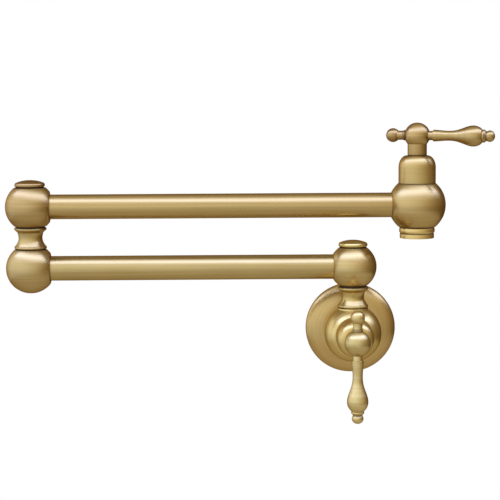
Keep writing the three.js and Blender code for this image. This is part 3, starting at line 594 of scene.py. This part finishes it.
finial_radius, finial_centre, cuff_radius, cuff_foot, cuff_top = 6.0, 21.6, 4.5, 10.7, 11.7
finial_outline = [
    *stud, (lever_neck, cuff_foot), (cuff_radius, cuff_foot), (cuff_radius, cuff_top),
    (lever_neck, cuff_top),
    *arc((0, finial_centre), finial_radius, -neck_latitude(lever_neck, 2 * finial_radius), 90, 28)]

play, spot_face, past_hub, stud_hole, stud_hole_end = 0.6, 9.596, 12, 5.0, 11
screw_height, screw_radius, screw_tip, screw_head = 48.581, 1.8, 4.3, 7.9
screw_hole, screw_hole_end, key_size, key_floor, key_end = 2.0, 9.3, 2.0, 6.1, 9
towards_x = Matrix.Rotation(math.pi / 2, 4, "Y")
towards_minus_x = Matrix.Rotation(-math.pi / 2, 4, "Y")

# The tones are painted light and shade: the inlet handle paled and whitened as if lit more strongly
# from the front, the outlet handle darkened as if in less light.
for side, valve_frame, turn, seed, hub_painted_lighting, lever_painted_lighting, finial_painted_lighting in (
        ("inlet", inlet_frame, -90, 11.4,
         (1.08, 1.25, 1.75), (1.25, 1.47, 2.25), (1.18, 1.35, 1.85)),
        ("outlet", outlet_frame, -22, 17.8,
         (0.83, 0.79, 0.68), (0.85, 0.85, 0.83), (0.7, 0.63, 0.5))):
    body = f"{side}_handle"
    handle_frame = valve_frame @ Matrix.Rotation(math.radians(turn), 4, "Z")
    centre = handle_frame @ at(0, 0, hub_height)
    screw_frame = handle_frame @ at(0, 0, screw_height) @ towards_y

    hub = turned(f"{side}_hub_ball", hub_outline, handle_frame, edge=0.35)
    holes = [rod(2 * radius + play, start, end, centre @ way, 48)
             for way in (towards_x, towards_minus_x)
             for radius, start, end in ((lever_neck, spot_face, past_hub),
                                        (stud_radius, stud_hole, stud_hole_end))]
    holes.append(rod(2 * screw_radius + play, screw_hole, screw_hole_end, screw_frame, 32))
    shaped(hub, holes)
    fitted(hub, satin_brass(f"satin_brass_{side}_hub", seed, (hub_foot,), combed=0.4,
                            painted_lighting=hub_painted_lighting), f"{side}_handle_hub", body)

    lever = turned(f"{side}_turned_lever", lever_outline, centre @ towards_x, edge=0.2)
    fitted(lever, satin_brass(f"satin_brass_{side}_lever", seed + 1, (groove_place, stud_seat),
                              combed=0.45, painted_lighting=lever_painted_lighting), f"{side}_handle_lever", body)

    finial = turned(f"{side}_finial_ball", finial_outline, centre @ towards_minus_x, edge=0.2)
    fitted(finial, satin_brass(f"satin_brass_{side}_finial", seed + 2, (stud_seat, cuff_top),
                               combed=0.4, painted_lighting=finial_painted_lighting), f"{side}_handle_finial", body)

    screw = turned(f"{side}_grub_screw", [
        (0, screw_tip), (screw_radius, screw_tip), (screw_radius, screw_head), (0, screw_head),
    ], screw_frame, edge=0.25, steps=32)
    shaped(screw, [rod(key_size, key_floor, key_end, screw_frame, 6)])
    fitted(screw, inner_finishes["steel"], f"{side}_handle_set_screw", body)


# ---- Spools and seat washers --------------------------------------------------------------------
# A waisted brass sleeve with a bead at either end covers each swivel's stem. A dark bearing
# washer of plastic lies in the seam between the sleeve and the ball that turns on it.

def flowing(points, steps=6):
    """A smooth line through the points: a Catmull-Rom curve."""
    ends = [points[0], *points, points[-1]]
    result = [points[0]]
    for i in range(1, len(ends) - 2):
        a, b, c, d = (Vector(ends[i + offset]) for offset in (-1, 0, 1, 2))
        for step in range(1, steps + 1):
            t = step / steps
            spot = (b * 2 + (c - a) * t + (a * 2 - b * 5 + c * 4 - d) * t ** 2
                    + (b * 3 - a - c * 3 + d) * t ** 3) / 2
            result.append((spot.x, spot.y))
    return result


elbow_across, lower_height = -277, 58
riser_frame = at(0, -standoff, lower_height)
elbow_frame = at(elbow_across, -standoff, upper_height)
ball_face, spool_top, spool_bore = 16.6, -17.5, stem_bearing / 2
head_bead, head_step, foot_bead, foot_step = 1.25, 0.35, 1.4, 2.75
washer_top, washer_foot, washer_inset = -(ball_face + 0.3), -(ball_face + 0.9), 2.05
# Each row's tone is painted light and shade for where the sleeve stands in the light.
for side, body, place, spool_radius, waist_radius, foot, seed, painted_lighting in (
        ("riser", "wall_valve", riser_frame, 13.2, 9.45, -35.442, -12.442, (1.03, 1.12, 1.16)),
        ("elbow", "lower_arm", elbow_frame, 13.9, 10.2, -36.1, -13.1, (0.9, 0.93, 1.0))):
    neck_high, neck_low = spool_top - 2 * head_bead - head_step, foot + foot_step
    middle = (neck_high + neck_low) / 2
    # Upwards: out from the foot's bead, in to the waist and out again to the head's bead.
    waisted = flowing([
        (spool_radius - 0.95, neck_low), (waist_radius + 1.2, neck_low + 2.4),
        (waist_radius + 0.25, middle - 1.8), (waist_radius, middle + 0.6),
        (waist_radius + 0.42, neck_high - 3.1), (waist_radius + 1.15, neck_high - 1.2),
        (spool_radius - 1.15, neck_high)])
    spool = turned(f"{side}_waisted_sleeve", [
        (spool_bore, foot),
        *arc((spool_radius - foot_bead, foot + foot_bead), foot_bead, -90, 62, 14),
        *waisted,
        *arc((spool_radius - head_bead, spool_top - head_bead), head_bead, -62, 90, 14),
        (spool_bore, spool_top)], place, edge=0.15)
    fitted(spool, satin_brass(f"satin_brass_{side}_sleeve", seed, (foot, spool_top), combed=0.3,
                              painted_lighting=painted_lighting), f"{side}_spool", body)
    washer_radius = spool_radius - washer_inset
    washer = turned(f"{side}_bearing_washer", [
        (spool_bore, washer_foot), (washer_radius, washer_foot),
        (washer_radius, washer_top), (spool_bore, washer_top),
    ], place, edge=0.12)
    fitted(washer, inner_finishes["nylon"], f"{side}_seat_washer", body)


# ---- Swivel balls -------------------------------------------------------------------------------
# Brass balls with flats above and below, bored for the stem and for the water. The arms' tubes are
# soldered into their sides; on the elbow they enter through a small spot-faced flat.

cap_bore, ledge, chamber, chamber_half = 9.705, 11.0, 10.0, 8.0
tube_socket, socket_end = 21.8, 12.2


def through_ball(diameter):
    """Section of a ball with a bearing, a chamber and, at the top, a bore for the cap."""
    edge, bearing = latitude(ball_face, diameter), stem_bearing / 2
    return [
        *arc((0, 0), diameter / 2, -edge, edge, 40),
        (cap_bore, ball_face), (cap_bore, ledge), (bearing, ledge), (bearing, chamber_half),
        (chamber, chamber_half), (chamber, -chamber_half), (bearing, -chamber_half),
        (bearing, -ball_face)]


def with_tube(ball, diameter, place, face=None):
    """Cuts the socket for the tube, the waterway behind it and, if asked, the flat round it."""
    past_ball = diameter / 2 + 1
    tools = [rod(tube_socket, socket_end, past_ball, place),
             rod(2 * waterway, 0, socket_end + 1, place)]
    if face:
        tools.append(rod(diameter, face, past_ball, place))
    shaped(ball, tools)


riser_ball, elbow_ball, elbow_flat = 40.6, 42.8, 16.7

# The balls' tones are painted light and shade, lightening or darkening each ball for how the light
# falls on it.
ball = turned("riser_swivel_ball", through_ball(riser_ball), riser_frame, edge=0.3, steps=128)
with_tube(ball, riser_ball, riser_frame @ towards_minus_x)
fitted(ball, satin_brass("satin_brass_riser_ball", 31.2, (-ball_face, ball_face),
                         painted_lighting=(1.01, 1.08, 1.32)), "riser_ball", "lower_arm")

ball = turned("elbow_upper_swivel_ball", through_ball(elbow_ball), elbow_frame, edge=0.3,
              steps=128)
with_tube(ball, elbow_ball, elbow_frame @ towards_x, elbow_flat)
fitted(ball, satin_brass("satin_brass_elbow_upper_ball", 33.5, (-ball_face, ball_face),
                         painted_lighting=(0.81, 0.78, 0.75)), "elbow_upper_ball", "upper_arm")

lower_elbow_frame = at(elbow_across, -standoff, lower_height)
well_radius, well_floor = 5, -13
ball = turned("elbow_lower_closed_ball", [
    *arc((0, 0), elbow_ball / 2, -90, latitude(ball_face, elbow_ball), 64),
    (stem_bearing / 2, ball_face), (stem_bearing / 2, chamber_half), (chamber, chamber_half),
    (chamber, -chamber_half), (well_radius, well_floor), (0, well_floor),
], lower_elbow_frame, edge=0.3, steps=128)
with_tube(ball, elbow_ball, lower_elbow_frame @ towards_x, elbow_flat)
fitted(ball, satin_brass("satin_brass_elbow_lower_ball", 35.9, (ball_face,),
                         painted_lighting=(0.91, 0.96, 1.18)), "elbow_lower_ball", "lower_arm")


# ---- Swivel caps --------------------------------------------------------------------------------
# Low domed brass caps that screw into the tops of the swivel balls and cover their retaining
# nuts. Each has a rounded edge that overhangs, with a dark seam under it.

cap_under, cap_top, cap_edge, crown_steps, crown_power = 16.9, 23.0, 2.1, 20, 2.3
spigot, spigot_inside, spigot_end, cap_roof = 9.405, 8.105, cap_under - 4, cap_under + 2
# Each row's tone is painted light and shade: the riser cap paled, the elbow cap darkened.
for side, body, place, cap_radius, seed, painted_lighting in (
        ("riser", "lower_arm", riser_frame, 12.5, 37.7, (1.3, 1.55, 2.0)),
        ("elbow", "upper_arm", elbow_frame, 13.0, 39.1, (0.7, 0.65, 0.56))):
    rim = arc((cap_radius - cap_edge, cap_under + cap_edge), cap_edge, -66, 52, 14)
    rim_end, rim_height = rim[-1]
    crown = []
    for step in range(1, crown_steps + 1):
        outwards = 1 - step / crown_steps
        crown.append((rim_end * outwards,
                      cap_top - (cap_top - rim_height) * outwards ** crown_power))
    cap = turned(f"{side}_domed_cap", [
        (0, cap_roof), (spigot_inside, cap_roof), (spigot_inside, spigot_end),
        (spigot, spigot_end), (spigot, cap_under), *rim, *crown], place, edge=0.2)
    fitted(cap, satin_brass(f"satin_brass_{side}_cap", seed, (cap_under,), painted_lighting=painted_lighting),
           f"{side}_cap", body)


# ---- Arm tubes ----------------------------------------------------------------------------------
# Two straight drawn brass tubes, brushed along their length, with a filleted line of solder hidden
# in each socket. They carry the water from one ball to the next.

tube_radius, tube_inside = 10.6, 9.3
# Each row's tone is painted light and shade for how the light falls along each tube.
for side, place, start, end, seed, painted_lighting in (
        ("lower", riser_frame, -264.5, -12.5, 41.3, (0.94, 1.02, 1.26)),
        ("upper", elbow_frame, 12.5, 319.7, 43.8, (0.89, 0.9, 0.93))):
    tube = turned(f"{side}_arm_tube", [
        (tube_inside, start), (tube_radius, start), (tube_radius, end), (tube_inside, end),
    ], place @ towards_x, edge=0.2, steps=128)
    fitted(tube, satin_brass(f"satin_brass_{side}_arm_tube", seed, brushed="along", painted_lighting=painted_lighting),
           f"{side}_tube", f"{side}_arm")


# ---- Outlet valve body --------------------------------------------------------------------------
# The brass ball at the end of the upper arm: the tube is soldered into its side, the cartridge
# sits in its top, and a threaded bore below takes the aerator.

outlet_face, thread_top, thread_radius = -18.897, -13.997, 11.5
valve_socket_end, past_valve = 12.0, 26
outlet_body = turned("outlet_valve_ball", [
    *arc((0, 0), valve_ball / 2, latitude(outlet_face, valve_ball),
         latitude(bonnet_seat, valve_ball), 48),
    *valve_front, (waterway, thread_top), (thread_radius, thread_top),
    (thread_radius, outlet_face),
], outlet_frame, edge=0.25, steps=128)
shaped(outlet_body, [
    rod(tube_socket, valve_socket_end, past_valve, outlet_frame @ towards_minus_x),
    rod(2 * waterway, 0, valve_socket_end + 1, outlet_frame @ towards_minus_x)])
# The tone is painted shade, darkening the outlet ball a little.
fitted(outlet_body, satin_brass("satin_brass_outlet_ball", 45.5, (bonnet_seat, outlet_face),
                                painted_lighting=(0.91, 0.93, 0.98)), "outlet_valve_body", "upper_arm")


# ---- Aerator ------------------------------------------------------------------------------------
# A brass ring with a rounded bead, a fine groove and a plain skirt screws up into the ball. It
# clamps a white plastic insert with a honeycomb of holes against a rubber washer.

aerator_top, aerator_bottom, aerator_roof = -19.197, -28.497, -20.297
aerator_radius, skirt_radius, aerator_bore, throat = 15.3, 14.7, 12.0, 8.5
male_thread, male_thread_end = 11.2, aerator_top + 4.6
ring_bulge, ring_half, skirt_groove = 0.9, 2.45, 0.7
ring_low = aerator_top - 2 * ring_half
groove_high, groove_low, skirt_top = ring_low - 0.05, ring_low - 0.45, ring_low - 0.6
housing = turned("aerator_ring", [
    (throat, male_thread_end), (male_thread, male_thread_end), (male_thread, aerator_top),
    *arc((aerator_radius - ring_bulge, aerator_top - ring_half), ring_bulge, 90, -72, 18,
         ring_half),
    (skirt_radius - skirt_groove, groove_high), (skirt_radius - skirt_groove, groove_low),
    (skirt_radius, skirt_top), (skirt_radius, aerator_bottom),
    (aerator_bore, aerator_bottom), (aerator_bore, aerator_roof), (throat, aerator_roof),
], outlet_frame, edge=0.22)
# The tone is painted light, paling the aerator ring as if lit more strongly.
fitted(housing, satin_brass("satin_brass_aerator", 47.2, (aerator_top, ring_low - 0.3),
                            painted_lighting=(1.4, 1.52, 1.75)), "aerator_housing", "upper_arm")

insert_top, insert_bottom, insert_radius = -22.0, -27.997, aerator_bore - 0.3
hole_start, hole_end = insert_bottom - 1, insert_top + 1
hole_size, hole_pitch, hole_rings = 2.6, 3.9, 2
insert = turned("honeycomb_insert", [
    (0, insert_bottom), (insert_radius, insert_bottom), (insert_radius, insert_top),
    (0, insert_top)], outlet_frame, edge=0.3, steps=48)
insert_holes = []
for row in range(-hole_rings, hole_rings + 1):
    for spot in range(-hole_rings, hole_rings + 1):
        if abs(row + spot) <= hole_rings:
            x, y = hole_pitch * (spot + row / 2), hole_pitch * row * math.sin(math.pi / 3)
            insert_holes.append(rod(hole_size, hole_start, hole_end,
                                    outlet_frame @ at(x, y, 0), 6))
shaped(insert, insert_holes)
white_plastic = moulded("white_moulded_plastic", 49.9, (226, 226, 220), (208, 207, 199),
                        rough=0.38, grain=900)
fitted(insert, white_plastic, "aerator_insert", "upper_arm")


# ---- Studio -------------------------------------------------------------------------------------
# White surroundings, a pale table well below the piece, a plain soft lamp over it, and a bent soft
# box and grey cards out of the picture that only the metal mirrors, as in a product photograph.

middle = Vector((-0.09, -0.038, 0.1))
lamp_width, lamp_depth, lamp_level, lamp_place = 3.2, 1.6, 2.6, Vector((-0.09, -0.55, 2.0))
lamp_data = bpy.data.lights.new("plain_soft_lamp", "AREA")
lamp_data.shape, lamp_data.size, lamp_data.size_y = "RECTANGLE", lamp_width, lamp_depth
lamp_data.energy = lamp_level * math.pi * lamp_width * lamp_depth
lamp = bpy.data.objects.new("plain_soft_lamp", lamp_data)
bpy.context.scene.collection.objects.link(lamp)
lamp.location = lamp_place
lamp.rotation_mode = "QUATERNION"
lamp.rotation_quaternion = (lamp_place - middle).to_track_quat("Z", "Y")
lamp.visible_glossy = False


def for_metal(name, vertices, faces, finish, shader):
    """A surface with this shader that reflections see, and that isn't part of the object."""
    piece = unfinished(name, vertices, faces)
    piece.visible_camera = piece.visible_shadow = piece.visible_diffuse = False
    finish.node("ShaderNodeOutputMaterial", inputs={"Surface": shader})
    piece.data.materials.append(finish.material)
    return piece


# What the metal sees of the light: a soft box bent round the front in an arch, brightest along
# its middle line and fading out at its edges.
box_distance, box_half_height, box_columns, box_rows = 1.45, 26, 48, 8
box_left, box_sweep, box_crest, box_droop, droop_power = -112, 220, 59, 21, 2.5
cloth_colour, cloth_strength = (0.5, 0.61, 1.04, 1), 5.5
box_points, box_across = [], []
for column in range(box_columns + 1):
    side = box_left + box_sweep * column / box_columns
    line = box_crest - box_droop * (abs(side) / 100) ** droop_power
    for row in range(box_rows + 1):
        across = 2 * row / box_rows - 1
        rise, turn = math.radians(line + across * box_half_height), math.radians(side)
        box_points.append(middle + box_distance * Vector((
            math.cos(rise) * math.sin(turn), -math.cos(rise) * math.cos(turn), math.sin(rise))))
        box_across.append(abs(across))
box_faces = []
for column in range(box_columns):
    for row in range(box_rows):
        i = column * (box_rows + 1) + row
        box_faces.append((i, i + 1, i + box_rows + 2, i + box_rows + 1))
finish = Finish("soft_box_cloth")
across = finish.node("ShaderNodeAttribute", {"attribute_name": "across"}, out="Fac")
fade = (1 - across ** 1.4) ** 1.6
lit = finish.node("ShaderNodeEmission", inputs={
    "Color": cloth_colour, "Strength": cloth_strength})
clear = finish.node("ShaderNodeBsdfTransparent")
shown = finish.node("ShaderNodeMixShader", inputs={0: fade, 1: clear, 2: lit})
box = for_metal("bent_soft_box", box_points, box_faces, finish, shown)
box.data.attributes.new("across", "FLOAT", "POINT").data.foreach_set("value", box_across)


def card(name, vertices, faces, along, stops, level_of=None):
    """A glowing grey card for the metal. `along` gives the place on its stops of grey, of which
    the darker ones are warmer, and `level_of` how bright the card is there."""
    finish = Finish(name + "_grey")
    grey = finish.node("ShaderNodeValToRGB", {"stops": stops}, {0: along(finish)})
    shade = finish.node("ShaderNodeCombineColor", inputs={
        0: grey, 1: 1.08 * grey ** 1.3, 2: 1.15 * grey ** 1.9})
    if level_of:
        level = level_of(finish)
        levels = finish.node("ShaderNodeCombineColor", inputs={0: level, 1: level, 2: level})
        shade = finish.node("ShaderNodeVectorMath", {"operation": "MULTIPLY"}, {
            0: shade, 1: levels})
    glow = finish.node("ShaderNodeEmission", inputs={"Color": shade})
    for_metal(name, vertices, faces, finish, glow)


def around(finish):
    """0 behind, rising past the left, the front at 0.5 and the right to 1 behind again."""
    x, y, z = finish.place()
    return x.maths("ARCTAN2", x, 0 - y) / (2 * math.pi) + 0.5


def backwards(front, back):
    """0 at the front edge of a level card and 1 at its back edge."""
    return lambda finish: (finish.place()[1] - front) / (back - front)


def brighter_upwards(finish):
    """The wall's brightness: a step up where the table ends, and a slow rise above it."""
    foot_level, table_step, high_step = 0.84, 0.31, 0.12
    table_line, table_blur, high_line, high_blur = -0.15, 0.14, 0.02, 0.3
    x, y, z = finish.place()
    return (foot_level + table_step * ((z - table_line) / table_blur).clipped()
            + high_step * ((z - high_line) / high_blur).clipped())


table_height, wall_top, wall_radius, wall_steps = -0.45, 0.75, 1.3, 72
wall_points = (ring(wall_radius, table_height, wall_steps)
               + ring(wall_radius, wall_top, wall_steps))
wall_rings = [range(wall_steps), range(wall_steps, 2 * wall_steps)]
card("curved_grey_wall", wall_points, skin(wall_rings, closed=False), around, [
    (0.0, 0.25), (0.1, 0.45), (0.167, 0.85), (0.236, 1.0), (0.295, 1.0), (0.395, 1.0),
    (0.486, 0.88), (0.572, 0.68), (0.667, 0.42), (0.722, 0.3), (0.786, 0.22), (0.872, 0.15),
    (1.0, 0.25)], brighter_upwards)
for name, height, side, front, back, stops in (
        ("grey_ceiling", 1.5, 3.4, -0.22, 3.2,
         [(0.0, 0.78), (0.1, 0.64), (0.22, 0.5), (0.42, 0.36), (1.0, 0.22)]),
        ("grey_card_below", -0.44, 1.3, -1.3, 1.3,
         [(0.0, 0.74), (0.35, 0.63), (0.6, 0.5), (1.0, 0.38)])):
    corners = [(-side, front, height), (side, front, height), (side, back, height),
               (-side, back, height)]
    card(name, corners, [(0, 1, 2, 3)], backwards(front, back), stops)

# The table fades out before its rim, so that no edge shows, and from below it isn't there.
table_radius, table_steps, fade_start, fade_width, speck_scale = 2.2, 96, 0.9, 1.25, 30
table = unfinished("pale_table", ring(table_radius, 0, table_steps), [range(table_steps)])
table.location = (-0.1, -1.0, table_height)
finish = Finish("pale_table_top")
x, y, z = finish.place()
from_below = finish.node("ShaderNodeNewGeometry", out="Backfacing")
rim_fade = (((x * x + y * y) ** 0.5 - fade_start) / fade_width).clipped()
speck = finish.noise(x * speck_scale, y * speck_scale, z, 3.0)
pale = finish.mixed(speck, (0.88, 0.88, 0.865, 1), (0.92, 0.92, 0.905, 1))
matt = finish.node("ShaderNodeBsdfDiffuse", inputs={"Color": pale, "Roughness": 0.4})
clear = finish.node("ShaderNodeBsdfTransparent")
shown = finish.node("ShaderNodeMixShader", inputs={
    0: rim_fade.larger(from_below), 1: matt, 2: clear})
finish.node("ShaderNodeOutputMaterial", inputs={"Surface": shown})
table.data.materials.append(finish.material)

# The room is white where it is seen or mirrored, and lights the pieces at half of that.
world = bpy.context.scene.world or bpy.data.worlds.new("white_room")
bpy.context.scene.world = world
world.use_nodes = True
room = Finish("white_room", world.node_tree)
seen = room.node("ShaderNodeLightPath", out="Is Camera Ray")
mirrored = room.node("ShaderNodeLightPath", out="Is Glossy Ray")
through = room.node("ShaderNodeLightPath", out="Is Transmission Ray")
shade = room.mixed((seen + mirrored + through).clipped(), (0.5, 0.5, 0.5, 1), (1, 1, 1, 1))
sky = room.node("ShaderNodeBackground", inputs={"Color": shade, "Strength": 1.0})
room.node("ShaderNodeOutputWorld", inputs={"Surface": sky})

camera_place = (-0.108, -1.636, 0.2383)
camera_turn, camera_dip, camera_roll = -0.0121, 0.1032, -0.005
camera_data = bpy.data.cameras.new("photograph")
camera_data.lens, camera_data.sensor_width = 134.47, 36.0
camera_data.clip_start, camera_data.clip_end = 0.05, 50
camera = bpy.data.objects.new("photograph", camera_data)
bpy.context.scene.collection.objects.link(camera)
camera.matrix_world = (
    Matrix.Translation(camera_place)
    @ Matrix.Rotation(camera_turn, 4, "Z")
    @ Matrix.Rotation(math.pi / 2 - camera_dip, 4, "X")
    @ Matrix.Rotation(camera_roll, 4, "Z"))
bpy.context.scene.camera = camera
bpy.context.scene.view_settings.view_transform = "Standard"
